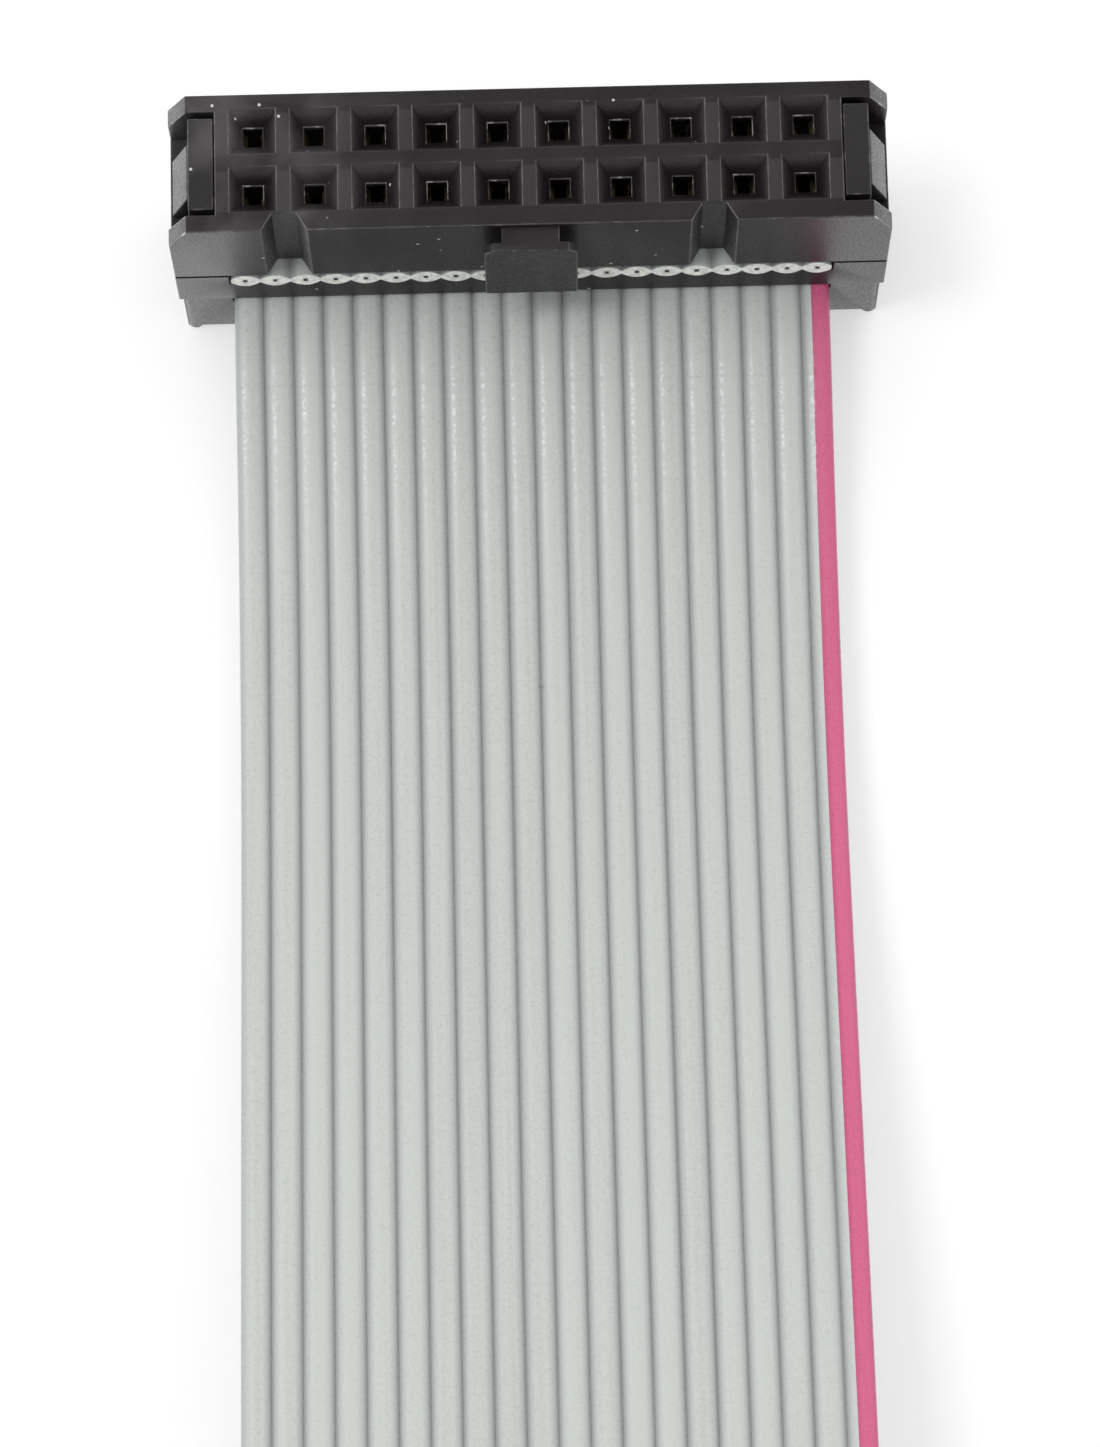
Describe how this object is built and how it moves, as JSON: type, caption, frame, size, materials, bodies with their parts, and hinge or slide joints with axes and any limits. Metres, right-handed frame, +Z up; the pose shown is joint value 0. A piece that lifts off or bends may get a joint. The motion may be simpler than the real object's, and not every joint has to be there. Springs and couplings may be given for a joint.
{
  "type": "ribbon cable",
  "caption": "Flat grey ribbon cable with a red edge stripe and a black two-row socket connector with strain relief pressed on each end.",
  "frame": {"origin": "middle of the near connector's underside, which stands on the table", "axes": "+X along the connector towards the striped edge, +Y away from the ribbon, +Z up out of the sockets"},
  "size_m": [0.03, 0.1829, 0.0125],
  "materials": {
    "socket_plastic": "black moulded plastic, half gloss",
    "cover_plastic": "black moulded plastic, half gloss",
    "grey_insulation": "grey flexible insulation, satin",
    "stripe_insulation": "pinkish red layer on the insulation, satin",
    "tinned_wire": "tinned stranded wire",
    "contact_metal": "plated contact strip"
  },
  "bodies": {
    "root": {"near_socket_body": "socket_plastic", "near_cover": "cover_plastic", "near_strain_relief": "cover_plastic", "far_socket_body": "socket_plastic", "far_cover": "cover_plastic", "far_strain_relief": "cover_plastic", "ribbon_insulation": "grey_insulation", "index_stripe": "stripe_insulation", "conductors": "tinned_wire", "near_contact_1": "contact_metal", "near_contact_2": "contact_metal", "near_contact_3": "contact_metal", "near_contact_4": "contact_metal", "near_contact_5": "contact_metal", "near_contact_6": "contact_metal", "near_contact_7": "contact_metal", "near_contact_8": "contact_metal", "near_contact_9": "contact_metal", "near_contact_10": "contact_metal", "near_contact_11": "contact_metal", "near_contact_12": "contact_metal", "near_contact_13": "contact_metal", "near_contact_14": "contact_metal", "near_contact_15": "contact_metal", "near_contact_16": "contact_metal", "near_contact_17": "contact_metal", "near_contact_18": "contact_metal", "near_contact_19": "contact_metal", "near_contact_20": "contact_metal", "far_contact_1": "contact_metal", "far_contact_2": "contact_metal", "far_contact_3": "contact_metal", "far_contact_4": "contact_metal", "far_contact_5": "contact_metal", "far_contact_6": "contact_metal", "far_contact_7": "contact_metal", "far_contact_8": "contact_metal", "far_contact_9": "contact_metal", "far_contact_10": "contact_metal", "far_contact_11": "contact_metal", "far_contact_12": "contact_metal", "far_contact_13": "contact_metal", "far_contact_14": "contact_metal", "far_contact_15": "contact_metal", "far_contact_16": "contact_metal", "far_contact_17": "contact_metal", "far_contact_18": "contact_metal", "far_contact_19": "contact_metal", "far_contact_20": "contact_metal"}
  },
  "joints": []
}
